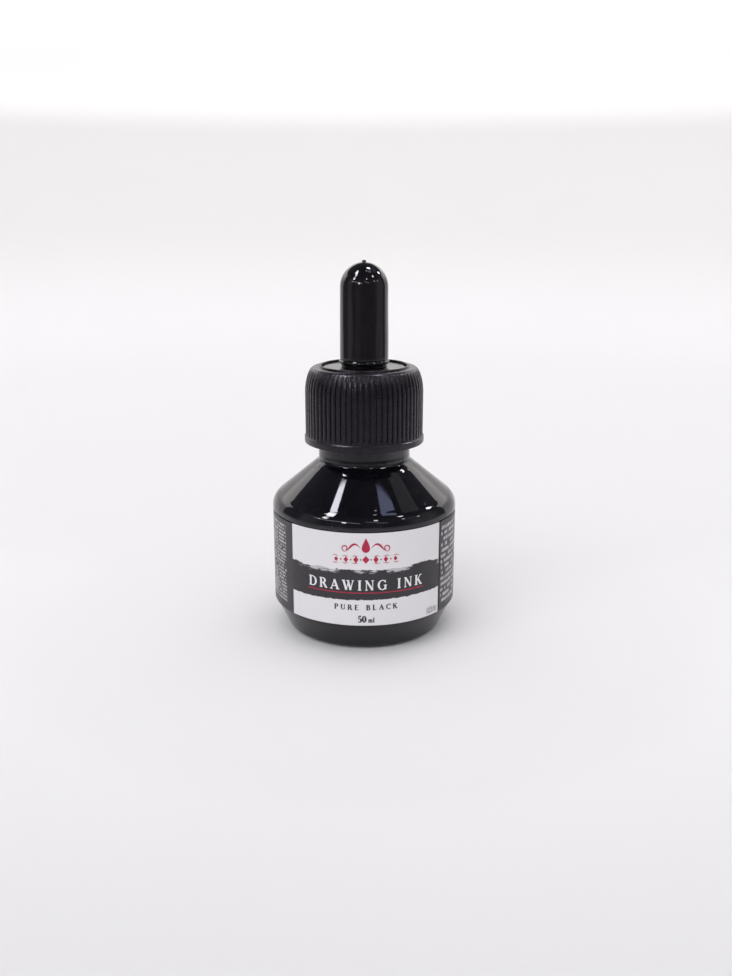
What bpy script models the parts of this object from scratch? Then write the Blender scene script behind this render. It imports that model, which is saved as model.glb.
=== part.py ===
"""A 50 ml ink bottle closed by a dropper cap.

Metres, +Z up. The origin is the centre of the face the bottle stands on, and the label's front
faces -Y. Every piece is turned about Z, so each outline below is a list of (radius, height)
corners in millimetres, with a fillet radius where a corner is rounded.
"""

import math

import bmesh
import bpy
from mathutils import Vector

MM = 0.001
TURN = 2.0 * math.pi

# Bottle
BODY_RADIUS = 23.0
BODY_FILLET = 4.6
WALL = 1.2
NECK_RADIUS = 11.3
NECK_BORE_RADIUS = 9.5
NECK_FOOT_HEIGHT = 43.1
SHOULDER_HEIGHT = 33.45
RIM_HEIGHT = 62.6
PANEL_RADIUS = 22.8
PANEL_BOTTOM = 7.65
PANEL_TOP = 30.8
PANEL_LEDGE = 0.25
HEEL_RADIUS = 19.2
FOOT_INNER_RADIUS = 15.4
FOOT_INNER_SLOPE = 1.2
PUSH_UP = 2.3
FLOOR = 3.9
RIM_FILLET = 0.5
NECK_FOOT_FILLET = 1.1
PANEL_FILLET = 2.5
HEEL_FILLET = 2.0

# Bottle's inner face, as it differs from the outer one
INNER_CONE_DROP = 1.65
INNER_NECK_FILLET = 1.0
INNER_PANEL_RISE = 0.3
INNER_PANEL_FILLET = 2.0
INNER_HEEL_INSET = 1.7
INNER_HEEL_HEIGHT = 1.4
INNER_FOOT_HEIGHT = 1.6
FLOOR_EDGE_INSET = 2.6
FLOOR_EDGE_DROP = 0.6

# Thread between the neck and the cap: one right-hand start
THREAD_PITCH = 3.0
THREAD_TURNS = 1.5
THREAD_START = 54.4
THREAD_BEAD = 0.8
THREAD_POINTS_PER_TURN = 32
NECK_CREST_RADIUS = 12.0
CREST_CLEARANCE = 0.15

# Label
LABEL_GAP = 0.06
LABEL_THICKNESS = 0.1
LABEL_BOTTOM = 7.6
LABEL_TOP = 30.6
LABEL_SEAM = 0.25
LABEL_SEAM_AZIMUTH = 52.6
SEAM_CUTTER_DEPTH = 3.0
SEAM_CUTTER_MARGIN = 1.0

# Screw cap: a raised rim round the opening, a flat shelf, then an elliptical crown
CAP_BOTTOM = 47.45
CAP_TOP = 66.35
CAP_RADIUS = 14.5
CAP_RIM_RADIUS = 10.9
CAP_RIM_EDGE = 0.12
CAP_SHELF_HEIGHT = 65.85
CAP_SHELF_RADIUS = 12.35
CAP_CROWN_CENTRE = (10.9, 59.7)
CAP_CROWN_RADII = (3.6, 7.25)
CAP_CROWN_END = 52.5
CAP_FLANGE_RADIUS = 14.75
CAP_FLANGE_TOP = 48.95
CAP_FLANGE_STEP = 0.25
CAP_FLANGE_EDGE = 0.3
CAP_OPENING_RADIUS = 10.42
CAP_BORE_RADIUS = 12.85
CAP_BORE_FILLET = 0.3
CAP_BORE_LEAD_IN = 0.8
CAP_LIP_UNDERSIDE = 64.9
CAVITY_OVERSHOOT = 0.4
RIB_COUNT = 66
RIB_DEPTH = 0.32
RIB_BOTTOM = 49.3
RIB_FADE_START = 62.8
RIB_FADE_END = 65.6

# Dropper insert and sealing washer
DISC_RADIUS = 10.1
DISC_HEIGHT = 65.9
FLANGE_RADIUS = 11.9
FLANGE_TOP = 64.75
FLANGE_BOTTOM = 63.72
SPIGOT_RADIUS = 3.9
SPIGOT_TOP = 71.6
SPIGOT_BORE_RADIUS = 2.2
STEM_RADIUS = 5.0
STEM_BOTTOM = 53.0
SOCKET_TOP = 64.2
WASHER_RADIUS = 11.2
MOULDED_FILLET = 0.5
DISC_FILLET = 0.35
FACE_GAP = 0.05

# Pipette
PIPETTE_RADIUS = 3.5
PIPETTE_BORE_RADIUS = 2.5
PIPETTE_TAPER_START = 20.0
PIPETTE_TAPER_FILLET = 12.0
PIPETTE_NOZZLE_TOP = 11.0
PIPETTE_NOZZLE_TOP_RADIUS = 1.7
PIPETTE_NOZZLE_FILLET = 6.0
PIPETTE_NOZZLE_BORE_RADIUS = 0.75
PIPETTE_TIP = 6.5
PIPETTE_TIP_RADIUS = 1.25
PIPETTE_TIP_BORE_RADIUS = 0.6
PIPETTE_TIP_EDGE = 0.25

# Bulb
BULB_RADIUS = 5.81
BULB_FOOT_RADIUS = 5.9
BULB_WALL = 1.1
BULB_DOME_CENTRE = 84.75
BULB_DOME_HEIGHT = 5.95
BULB_LIP_RADIUS = 6.15
BULB_LIP_HEIGHT = 67.15
BULB_LIP_BEAD = 0.55
BULB_COLLAR_RADIUS = 5.55
BULB_COLLAR_TOP = 66.5
BULB_GRIP_GAP = 0.07
BULB_CHAMBER_START = 0.4
BULB_CHAMBER_FLARE = 2.0
NIB_RADIUS = 0.5
NIB_TOP = 91.15
NIB_EDGE = 0.15

SEGMENTS = 48
BULB_SEGMENTS = 36
PIPETTE_SEGMENTS = 24
MERGE_DISTANCE = 0.00001
SHARP_ANGLE = math.radians(32.0)
FILLET_STEP = math.radians(24.0)
SMALL_FILLET_STEP = math.radians(45.0)
DRAWN_GLASS_STEP = math.radians(5.0)


def clear_scene():
    for old in list(bpy.data.objects):
        bpy.data.objects.remove(old, do_unlink=True)


def new_collection(name):
    collection = bpy.data.collections.new(name)
    bpy.context.scene.collection.children.link(collection)
    return collection


def new_material(name, color, roughness, alpha=1.0):
    material = bpy.data.materials.new(name)
    material.use_nodes = True
    shader = material.node_tree.nodes["Principled BSDF"]
    shader.inputs["Base Color"].default_value = (*color, 1.0)
    shader.inputs["Roughness"].default_value = roughness
    shader.inputs["Metallic"].default_value = 0.0
    shader.inputs["Alpha"].default_value = alpha
    return material


# ---------------------------------------------------------------- outlines


def fillet(before, corner, after, radius, step):
    """Points of the arc that rounds a corner between two straight runs."""
    back = (before - corner).normalized()
    ahead = (after - corner).normalized()
    half = back.angle(ahead) / 2.0
    reach = radius / math.tan(half)
    centre = corner + (back + ahead).normalized() * (radius / math.sin(half))
    start = (corner + back * reach - centre).normalized()
    end = (corner + ahead * reach - centre).normalized()
    count = max(2, math.ceil((math.pi - 2.0 * half) / step))
    return [centre + start.slerp(end, i / count) * radius for i in range(count + 1)]


def outline(corners, step=FILLET_STEP):
    """(radius, height[, fillet]) corners in millimetres to a list of points in metres."""
    places = [Vector(corner[:2]) for corner in corners]
    points = []
    for i, corner in enumerate(corners):
        if len(corner) == 3:
            points += fillet(places[i - 1], places[i], places[i + 1], corner[2], step)
        else:
            points.append(places[i])
    return [point * MM for point in points]


def arc(centre, radii, start, end, count):
    """Points of an ellipse's arc as (radius, height); 0 degrees is outwards and 90 is up."""
    angles = [math.radians(start + (end - start) * i / count) for i in range(count + 1)]
    return [
        (centre[0] + radii[0] * math.cos(a), centre[1] + radii[1] * math.sin(a))
        for a in angles
    ]


# ---------------------------------------------------------------- solids


def add_object(name, mesh, collection, material=None):
    solid = bpy.data.objects.new(name, mesh)
    collection.objects.link(solid)
    if material:
        mesh.materials.clear()
        mesh.materials.append(material)
    return solid


def as_mesh(source, name, collection, material=None):
    """The evaluated source as a mesh object of its own; the source is removed."""
    bpy.context.view_layer.update()
    evaluated = source.evaluated_get(bpy.context.evaluated_depsgraph_get())
    mesh = bpy.data.meshes.new_from_object(evaluated)
    mesh.name = name
    bm = bmesh.new()
    bm.from_mesh(mesh)
    bmesh.ops.remove_doubles(bm, verts=bm.verts, dist=MERGE_DISTANCE)
    bm.to_mesh(mesh)
    bm.free()
    bpy.data.objects.remove(source, do_unlink=True)
    mesh.shade_smooth()
    mesh.set_sharp_from_angle(angle=SHARP_ANGLE)
    return add_object(name, mesh, collection, material)


def turned(name, points, ring, segments, collection, material=None):
    """A solid of revolution about Z. A ring's outline closes on itself; any other
    outline starts and ends on the axis."""
    mesh = bpy.data.meshes.new(name + "_outline")
    edges = [(i, i + 1) for i in range(len(points) - 1)]
    if ring:
        edges.append((len(points) - 1, 0))
    mesh.from_pydata([(p.x, 0.0, p.y) for p in points], edges, [])
    profile = bpy.data.objects.new(name + "_outline", mesh)
    collection.objects.link(profile)
    screw = profile.modifiers.new("Turn", "SCREW")
    screw.axis = "Z"
    screw.angle = TURN
    screw.steps = segments
    screw.render_steps = segments
    screw.use_merge_vertices = True
    screw.merge_threshold = MERGE_DISTANCE
    return as_mesh(profile, name, collection, material)


def thread_bead(name, radius, start_height, collection):
    """A round helical bead for a thread, thinning to nothing at both ends."""
    count = int(THREAD_TURNS * THREAD_POINTS_PER_TURN)
    run_out = THREAD_POINTS_PER_TURN / 8.0
    curve = bpy.data.curves.new(name, "CURVE")
    curve.dimensions = "3D"
    curve.bevel_depth = THREAD_BEAD * MM
    curve.bevel_resolution = 2
    curve.use_fill_caps = True
    spline = curve.splines.new("POLY")
    spline.points.add(count)
    for i, point in enumerate(spline.points):
        turns = i / THREAD_POINTS_PER_TURN
        angle = TURN * turns
        height = start_height + THREAD_PITCH * turns
        x = radius * math.cos(angle) * MM
        y = radius * math.sin(angle) * MM
        point.co = (x, y, height * MM, 1.0)
        point.radius = min(1.0, 0.1 + min(i, count - i) / run_out)
    path = bpy.data.objects.new(name + "_path", curve)
    collection.objects.link(path)
    return as_mesh(path, name, collection)


def hide_tool(tool):
    tool.hide_render = True
    tool.display_type = "WIRE"


def combine(solid, tool, operation):
    modifier = solid.modifiers.new(tool.name, "BOOLEAN")
    modifier.operation = operation
    modifier.object = tool
    hide_tool(tool)


# ---------------------------------------------------------------- pieces


def make_bottle(parts, tools):
    """Blow-moulded bottle: open neck, conical shoulder, recessed label wall, foot ring."""
    slope = (BODY_RADIUS - NECK_RADIUS) / (NECK_FOOT_HEIGHT - SHOULDER_HEIGHT)
    inner_radius = PANEL_RADIUS - WALL
    shoulder_rise = (BODY_RADIUS - inner_radius) / slope - INNER_CONE_DROP
    neck_foot_rise = (NECK_RADIUS - NECK_BORE_RADIUS) / slope - INNER_CONE_DROP
    inside = [
        (0.0, FLOOR),
        (FOOT_INNER_RADIUS - FLOOR_EDGE_INSET, FLOOR - FLOOR_EDGE_DROP),
        (FOOT_INNER_RADIUS, INNER_FOOT_HEIGHT),
        (HEEL_RADIUS - INNER_HEEL_INSET, INNER_HEEL_HEIGHT),
        (inner_radius, PANEL_BOTTOM + INNER_PANEL_RISE, INNER_PANEL_FILLET),
        (inner_radius, SHOULDER_HEIGHT + shoulder_rise, BODY_FILLET - WALL),
        (NECK_BORE_RADIUS, NECK_FOOT_HEIGHT + neck_foot_rise, INNER_NECK_FILLET),
        (NECK_BORE_RADIUS, RIM_HEIGHT),
    ]
    outside = [
        (NECK_RADIUS, RIM_HEIGHT, RIM_FILLET),
        (NECK_RADIUS, NECK_FOOT_HEIGHT, NECK_FOOT_FILLET),
        (BODY_RADIUS, SHOULDER_HEIGHT, BODY_FILLET),
        (BODY_RADIUS, PANEL_TOP + PANEL_LEDGE / 2.0),
        (PANEL_RADIUS, PANEL_TOP - PANEL_LEDGE / 2.0),
        (PANEL_RADIUS, PANEL_BOTTOM, PANEL_FILLET),
        (HEEL_RADIUS, 0.0, HEEL_FILLET),
        (FOOT_INNER_RADIUS, 0.0),
        (FOOT_INNER_RADIUS - FOOT_INNER_SLOPE, PUSH_UP - FOOT_INNER_SLOPE),
        (0.0, PUSH_UP),
    ]
    material = new_material("bottle_plastic", (0.010, 0.010, 0.014), 0.12)
    bottle = turned("bottle", outline(inside + outside), False, SEGMENTS, parts, material)
    bead_radius = NECK_CREST_RADIUS - THREAD_BEAD
    bead = thread_bead("neck_thread", bead_radius, THREAD_START, tools)
    combine(bottle, bead, "UNION")


def make_label(parts, tools):
    """Film label wrapped round the straight wall, its two ends meeting at a narrow seam."""
    inner = PANEL_RADIUS + LABEL_GAP
    outer = inner + LABEL_THICKNESS
    corners = [
        (outer, LABEL_TOP),
        (outer, LABEL_BOTTOM),
        (inner, LABEL_BOTTOM),
        (inner, LABEL_TOP),
    ]
    material = new_material("label_print", (0.045, 0.042, 0.048), 0.45)
    label = turned("wrap_label", outline(corners), True, SEGMENTS, parts, material)
    bpy.ops.mesh.primitive_cube_add(size=1.0)
    slit = bpy.context.object
    slit.name = "label_seam"
    for collection in slit.users_collection:
        collection.objects.unlink(slit)
    tools.objects.link(slit)
    azimuth = math.radians(LABEL_SEAM_AZIMUTH)
    middle = (LABEL_TOP + LABEL_BOTTOM) / 2.0
    x = outer * math.sin(azimuth) * MM
    y = -outer * math.cos(azimuth) * MM
    slit.location = (x, y, middle * MM)
    slit.rotation_euler = (0.0, 0.0, azimuth)
    height = LABEL_TOP - LABEL_BOTTOM + 2.0 * SEAM_CUTTER_MARGIN
    slit.scale = (LABEL_SEAM * MM, SEAM_CUTTER_DEPTH * MM, height * MM)
    combine(label, slit, "DIFFERENCE")


def rib_depth(height):
    """How deep the grooves between the grip ribs are at a height; they fade on the crown."""
    if height < RIB_BOTTOM or height > RIB_FADE_END:
        return 0.0
    fade = (RIB_FADE_END - height) / (RIB_FADE_END - RIB_FADE_START)
    return RIB_DEPTH * min(1.0, fade)


def make_cap(parts, tools):
    """Open-centred screw cap: plain bottom flange, grip ribs, crown, shelf and raised rim."""
    crown = arc(CAP_CROWN_CENTRE, CAP_CROWN_RADII, CAP_CROWN_END, 0.0, 5)
    corners = [
        (CAP_OPENING_RADIUS, CAP_TOP - CAP_RIM_EDGE),
        (CAP_OPENING_RADIUS + CAP_RIM_EDGE, CAP_TOP),
        (CAP_RIM_RADIUS - CAP_RIM_EDGE, CAP_TOP),
        (CAP_RIM_RADIUS, CAP_TOP - CAP_RIM_EDGE),
        (CAP_RIM_RADIUS, CAP_SHELF_HEIGHT),
        (CAP_SHELF_RADIUS, CAP_SHELF_HEIGHT),
        *crown,
        (CAP_RADIUS, RIB_BOTTOM),
        (CAP_RADIUS, CAP_FLANGE_TOP + CAP_FLANGE_STEP),
        (CAP_FLANGE_RADIUS, CAP_FLANGE_TOP),
        (CAP_FLANGE_RADIUS, CAP_BOTTOM + CAP_FLANGE_EDGE),
        (CAP_FLANGE_RADIUS - CAP_FLANGE_EDGE, CAP_BOTTOM),
        (CAP_OPENING_RADIUS, CAP_BOTTOM),
    ]
    material = new_material("cap_plastic", (0.016, 0.015, 0.018), 0.38)
    points = outline(corners)
    cap = turned("screw_cap", points, True, 2 * RIB_COUNT, parts, material)
    for vertex in cap.data.vertices:
        radius = math.hypot(vertex.co.x, vertex.co.y)
        meridian = round(math.atan2(vertex.co.y, vertex.co.x) / TURN * 2 * RIB_COUNT)
        if meridian % 2 and radius > CAP_SHELF_RADIUS * MM:
            depth = rib_depth(round(vertex.co.z / MM, 3)) * MM
            vertex.co.x *= 1.0 - depth / radius
            vertex.co.y *= 1.0 - depth / radius
    mouth_radius = CAP_BORE_RADIUS + CAP_BORE_LEAD_IN + CAVITY_OVERSHOOT
    cavity = [
        (0.0, CAP_LIP_UNDERSIDE),
        (CAP_BORE_RADIUS, CAP_LIP_UNDERSIDE, CAP_BORE_FILLET),
        (CAP_BORE_RADIUS, CAP_BOTTOM + CAP_BORE_LEAD_IN),
        (mouth_radius, CAP_BOTTOM - CAVITY_OVERSHOOT),
        (0.0, CAP_BOTTOM - CAVITY_OVERSHOOT),
    ]
    bore = turned("cap_cavity", outline(cavity), False, SEGMENTS, tools)
    combine(cap, bore, "DIFFERENCE")
    bead_radius = NECK_CREST_RADIUS + CREST_CLEARANCE + THREAD_BEAD
    start = THREAD_START - THREAD_PITCH / 2.0
    bead = thread_bead("cap_thread", bead_radius, start, tools)
    combine(cap, bead, "UNION")


def make_insert(parts):
    """Moulded insert: disc in the cap's opening, clamped flange, spigot, pipette socket."""
    socket_radius = PIPETTE_RADIUS + FACE_GAP
    corners = [
        (SPIGOT_BORE_RADIUS, SPIGOT_TOP),
        (SPIGOT_RADIUS, SPIGOT_TOP, MOULDED_FILLET),
        (SPIGOT_RADIUS, DISC_HEIGHT),
        (DISC_RADIUS, DISC_HEIGHT, DISC_FILLET),
        (DISC_RADIUS, FLANGE_TOP),
        (FLANGE_RADIUS, FLANGE_TOP),
        (FLANGE_RADIUS, FLANGE_BOTTOM),
        (STEM_RADIUS, FLANGE_BOTTOM),
        (STEM_RADIUS, STEM_BOTTOM, MOULDED_FILLET),
        (socket_radius, STEM_BOTTOM),
        (socket_radius, SOCKET_TOP),
        (SPIGOT_BORE_RADIUS, SOCKET_TOP),
    ]
    material = new_material("insert_plastic", (0.012, 0.012, 0.014), 0.15)
    points = outline(corners, SMALL_FILLET_STEP)
    turned("dropper_insert", points, True, SEGMENTS, parts, material)


def make_washer(parts):
    """Foam washer on the insert's stem, between its flange and the bottle's rim."""
    top = FLANGE_BOTTOM - FACE_GAP
    bottom = RIM_HEIGHT + FACE_GAP
    hole = STEM_RADIUS + FACE_GAP
    corners = [
        (WASHER_RADIUS, top),
        (WASHER_RADIUS, bottom),
        (hole, bottom),
        (hole, top),
    ]
    material = new_material("washer_foam", (0.72, 0.72, 0.70), 0.8)
    turned("sealing_washer", outline(corners), True, SEGMENTS, parts, material)


def make_pipette(parts):
    """Glass dropper tube, drawn down to a fine tip near the bottle's floor."""
    top = SOCKET_TOP - 2.0 * FACE_GAP
    corners = [
        (PIPETTE_RADIUS, top),
        (PIPETTE_RADIUS, PIPETTE_TAPER_START, PIPETTE_TAPER_FILLET),
        (PIPETTE_NOZZLE_TOP_RADIUS, PIPETTE_NOZZLE_TOP, PIPETTE_NOZZLE_FILLET),
        (PIPETTE_TIP_RADIUS, PIPETTE_TIP + PIPETTE_TIP_EDGE),
        (PIPETTE_TIP_RADIUS - PIPETTE_TIP_EDGE, PIPETTE_TIP),
        (PIPETTE_TIP_BORE_RADIUS, PIPETTE_TIP),
        (PIPETTE_NOZZLE_BORE_RADIUS, PIPETTE_NOZZLE_TOP),
        (PIPETTE_BORE_RADIUS, PIPETTE_TAPER_START),
        (PIPETTE_BORE_RADIUS, top),
    ]
    material = new_material("pipette_glass", (0.85, 0.88, 0.88), 0.05, alpha=0.35)
    points = outline(corners, DRAWN_GLASS_STEP)
    turned("pipette", points, True, PIPETTE_SEGMENTS, parts, material)


def make_bulb(parts):
    """Dipped rubber bulb, open below: nib, dome, tapering tube, rolled lip and collar."""
    foot = BULB_LIP_HEIGHT + 2.0 * BULB_LIP_BEAD
    lip_centre = (BULB_LIP_RADIUS - BULB_LIP_BEAD, BULB_LIP_HEIGHT)
    lip = arc(lip_centre, (BULB_LIP_BEAD, BULB_LIP_BEAD), 60.0, -60.0, 4)
    dome_centre = (0.0, BULB_DOME_CENTRE)
    dome = arc(dome_centre, (BULB_RADIUS, BULB_DOME_HEIGHT), 82.0, 0.0, 6)
    chamber_radius = BULB_RADIUS - BULB_WALL
    chamber_height = BULB_DOME_HEIGHT - BULB_WALL
    inner_dome = arc(dome_centre, (chamber_radius, chamber_height), 0.0, 72.0, 4)
    bottom = DISC_HEIGHT + FACE_GAP
    grip_radius = SPIGOT_RADIUS + BULB_GRIP_GAP
    corners = [
        (0.0, NIB_TOP),
        (NIB_RADIUS, NIB_TOP - NIB_EDGE),
        *dome,
        (BULB_FOOT_RADIUS, foot),
        *lip,
        (BULB_COLLAR_RADIUS, BULB_COLLAR_TOP),
        (BULB_COLLAR_RADIUS, bottom),
        (grip_radius, bottom),
        (grip_radius, SPIGOT_TOP + BULB_CHAMBER_START),
        (chamber_radius, SPIGOT_TOP + BULB_CHAMBER_FLARE),
        *inner_dome,
        (0.0, BULB_DOME_CENTRE + chamber_height),
    ]
    material = new_material("bulb_rubber", (0.012, 0.011, 0.013), 0.18)
    turned("dropper_bulb", outline(corners), False, BULB_SEGMENTS, parts, material)


def main():
    clear_scene()
    parts = new_collection("ink_bottle")
    tools = new_collection("cutters")
    make_bottle(parts, tools)
    make_label(parts, tools)
    make_cap(parts, tools)
    make_insert(parts)
    make_washer(parts)
    make_pipette(parts)
    make_bulb(parts)


main()
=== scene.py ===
"""Looks of the ink bottle: fine turned surfaces, a printed label, procedural materials, a
camera and a pale studio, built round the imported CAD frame. Metres, +Z up, label facing -Y.
Outlines are (radius, height[, fillet]) in millimetres."""

import math

import bpy
import numpy as np
from mathutils import Matrix, Vector


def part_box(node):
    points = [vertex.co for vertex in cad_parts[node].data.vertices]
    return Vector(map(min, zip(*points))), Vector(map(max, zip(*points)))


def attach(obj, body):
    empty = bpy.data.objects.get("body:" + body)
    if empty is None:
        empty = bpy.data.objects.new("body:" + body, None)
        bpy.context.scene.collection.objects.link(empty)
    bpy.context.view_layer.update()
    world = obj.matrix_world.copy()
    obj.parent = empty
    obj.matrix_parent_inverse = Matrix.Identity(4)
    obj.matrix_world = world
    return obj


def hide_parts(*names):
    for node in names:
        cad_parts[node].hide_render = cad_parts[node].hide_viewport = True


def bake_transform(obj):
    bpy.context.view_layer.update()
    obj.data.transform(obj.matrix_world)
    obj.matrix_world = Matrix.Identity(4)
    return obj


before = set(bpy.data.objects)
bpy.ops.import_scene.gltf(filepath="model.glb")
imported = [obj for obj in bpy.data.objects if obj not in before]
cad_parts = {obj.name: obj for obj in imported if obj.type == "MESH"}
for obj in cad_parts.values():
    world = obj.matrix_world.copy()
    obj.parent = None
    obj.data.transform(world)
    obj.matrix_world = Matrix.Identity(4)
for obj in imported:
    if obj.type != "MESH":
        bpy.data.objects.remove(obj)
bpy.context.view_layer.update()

MM = 0.001
TURN = 2.0 * math.pi


def top(node):
    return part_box(node)[1].z / MM


def bottom(node):
    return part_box(node)[0].z / MM


def radius(node):
    low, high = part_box(node)
    return (high.x - low.x) / 2.0 / MM


# ---------------------------------------------------------------- sizes from the frame

BODY_RADIUS = radius("bottle")
RIM = top("bottle")
NECK_RADIUS = 11.3
NECK_BORE = 9.5
NECK_CREST = 12.0
NECK_FOOT = 43.1
SHOULDER = 33.45
SHOULDER_FILLET = 4.6
WALL = 1.2
RECESS = 0.2
RECESS_TOP = 30.8
RECESS_BOTTOM = bottom("wrap_label") + 0.05
HEEL_RADIUS = 19.2
FOOT_INNER = 15.4
PUSH_UP = 2.3
FLOOR = 3.9
CONE_DROP = 1.65
PARTING_LINE = 0.035
PINCH_WELD = 0.28

PITCH = 3.0
THREAD_TURNS = 1.5
THREAD_START = 54.4
THREAD_HALF_WIDTH = 1.0

LABEL_RADIUS = radius("wrap_label")
LABEL_FILM = 0.08
LABEL_TOP = top("wrap_label")
LABEL_BOTTOM = bottom("wrap_label")
LABEL_SEAM_AZIMUTH = 52.6
LABEL_SEAM = 0.25

CAP_BOTTOM = bottom("screw_cap")
CAP_TOP = top("screw_cap")
CAP_RADIUS = 14.5
CAP_FLANGE = radius("screw_cap")
CAP_FLANGE_TOP = CAP_BOTTOM + 1.5
CAP_BORE = 12.85
CAP_OPENING = 10.42
CAP_LIP = 64.9
CAP_RIM = 10.9
CAP_SHELF = 65.85
CAP_SHELF_RADIUS = 12.55
CAP_CROWN = ((10.9, 59.7), (3.6, 7.25))
CAP_CROWN_END = 51.0
RIBS = 66
RIB_DEPTH = 0.31
RIB_FADE = (62.8, 65.6)

DISC_RADIUS = 10.1
DISC = 65.9
SPIGOT_RADIUS = 3.9
SPIGOT_TOP = top("dropper_insert")
SPIGOT_BORE = 2.2
FLANGE_RADIUS = radius("dropper_insert")
FLANGE_TOP = 64.75
FLANGE_BOTTOM = 63.72
STEM_RADIUS = 5.0
STEM_BOTTOM = bottom("dropper_insert")
SOCKET_TOP = 64.2

WASHER_RADIUS = radius("sealing_washer")
WASHER_HOLE = 5.05
GLASS_RADIUS = radius("pipette")
GLASS_TOP = top("pipette")
GLASS_TIP = bottom("pipette")
GLASS_TAPER = 20.0
GLASS_WALL = 1.0
TIP_RADIUS = 1.25
TIP_BORE = 0.6

BULB_BOTTOM = bottom("dropper_bulb")
BULB_TOP = top("dropper_bulb")
BULB_RADIUS = 5.81
BULB_FOOT = 5.9
BULB_DOME = 84.75
BULB_DOME_HEIGHT = 5.95
BULB_LIP = radius("dropper_bulb")
BULB_LIP_HEIGHT = 67.15
BULB_LIP_BEAD = 0.55
BULB_COLLAR = 5.55
BULB_COLLAR_TOP = 66.5
BULB_WALL = 1.1

FILLET_STEP = math.radians(9.0)
# a turned mesh's extra angles beside each fine angle
FINE_ANGLES = np.radians(np.linspace(-1.2, 1.2, 8))

# ---------------------------------------------------------------- outlines and turned meshes


def fillet(before, corner, after, size):
    back = (before - corner).normalized()
    ahead = (after - corner).normalized()
    half = back.angle(ahead) / 2.0
    reach = size / math.tan(half)
    centre = corner + (back + ahead).normalized() * (size / math.sin(half))
    start = (corner + back * reach - centre).normalized()
    end = (corner + ahead * reach - centre).normalized()
    count = max(3, math.ceil((math.pi - 2.0 * half) / FILLET_STEP))
    return [centre + start.slerp(end, i / count) * size for i in range(count + 1)]


def outline(corners):
    places = [Vector(corner[:2]) for corner in corners]
    points = []
    for i, corner in enumerate(corners):
        if len(corner) == 3:
            points += fillet(places[i - 1], places[i], places[i + 1], corner[2])
        else:
            points.append(places[i])
    return [(p.x, p.y) for p in points]


def arc(centre, radii, start, end, count):
    angles = np.radians(np.linspace(start, end, count + 1))
    return [
        (centre[0] + radii[0] * math.cos(a), centre[1] + radii[1] * math.sin(a))
        for a in angles
    ]


def dense(points, step, low=-1e9, high=1e9, closed=False):
    """The outline with no run longer than step between the heights low and high."""
    ends = points[1:] + ([points[0]] if closed else [])
    made = []
    for (r0, z0), (r1, z1) in zip(points, ends):
        inside = max(z0, z1) > low and min(z0, z1) < high
        count = math.ceil(math.hypot(r1 - r0, z1 - z0) / step) if inside else 1
        made += [
            (r0 + (r1 - r0) * i / count, z0 + (z1 - z0) * i / count)
            for i in range(max(1, count))
        ]
    return made if closed else made + [points[-1]]


def around(count, fine=()):
    """Angles for a turned mesh, with more of them near each of the fine angles."""
    angles = list(np.arange(count) * TURN / count)
    for middle in fine:
        angles += [(middle + a) % TURN for a in FINE_ANGLES]
    return np.array(sorted(set(np.round(angles, 7))))


def new_piece(name, points, faces, material, sharp=30.0):
    mesh = bpy.data.meshes.new(name)
    mesh.from_pydata(points, [], faces)
    mesh.validate()
    mesh.update()
    mesh.shade_smooth()
    mesh.set_sharp_from_angle(angle=math.radians(sharp))
    mesh.materials.append(material)
    piece = bpy.data.objects.new(name, mesh)
    bpy.context.scene.collection.objects.link(piece)
    return piece


def turned(name, points, angles, material, closed=False, shift=None, sharp=30.0):
    """An outline turned about Z. shift(r, z, angle, index) returns the changed r and z."""
    rows, count = len(points), len(angles)
    r = np.repeat(np.array([p[0] for p in points], float)[:, None], count, 1)
    z = np.repeat(np.array([p[1] for p in points], float)[:, None], count, 1)
    a = np.repeat(np.array(angles)[None, :], rows, 0)
    index = np.repeat(np.arange(rows)[:, None], count, 1)
    if shift:
        r, z = shift(r, z, a, index)
    grid = np.stack([r * np.cos(a), r * np.sin(a), z], -1) * MM
    vertices, number = [], np.zeros((rows, count), int)
    for i in range(rows):
        if points[i][0] < 1e-9:
            number[i] = len(vertices)
            vertices.append([0.0, 0.0, float(z[i].mean()) * MM])
        else:
            number[i] = np.arange(len(vertices), len(vertices) + count)
            vertices += grid[i].tolist()
    faces = []
    for i in range(rows if closed else rows - 1):
        one, two = number[i], number[(i + 1) % rows]
        for j in range(count):
            k = (j + 1) % count
            face = [one[j], two[j], two[k], one[k]]
            face = [int(v) for v in dict.fromkeys(face)]
            if len(face) > 2:
                faces.append(face)
    return new_piece(name, vertices, faces, material, sharp)


def smooth(x):
    x = np.clip(x, 0.0, 1.0)
    return x * x * (3.0 - 2.0 * x)


def thread(z, angle, start):
    """0 to 1 across a right-hand helical ridge that fades at both of its ends."""
    height = np.zeros_like(z)
    for turn in range(-1, int(THREAD_TURNS) + 2):
        run = angle / TURN + turn
        off = np.abs(z - start - PITCH * run) / THREAD_HALF_WIDTH
        ends = smooth((run + 0.02) / 0.12) * smooth((THREAD_TURNS + 0.02 - run) / 0.12)
        height = np.maximum(height, smooth((1.0 - off) / 0.75) * ends)
    return height


# ---------------------------------------------------------------- materials


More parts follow.
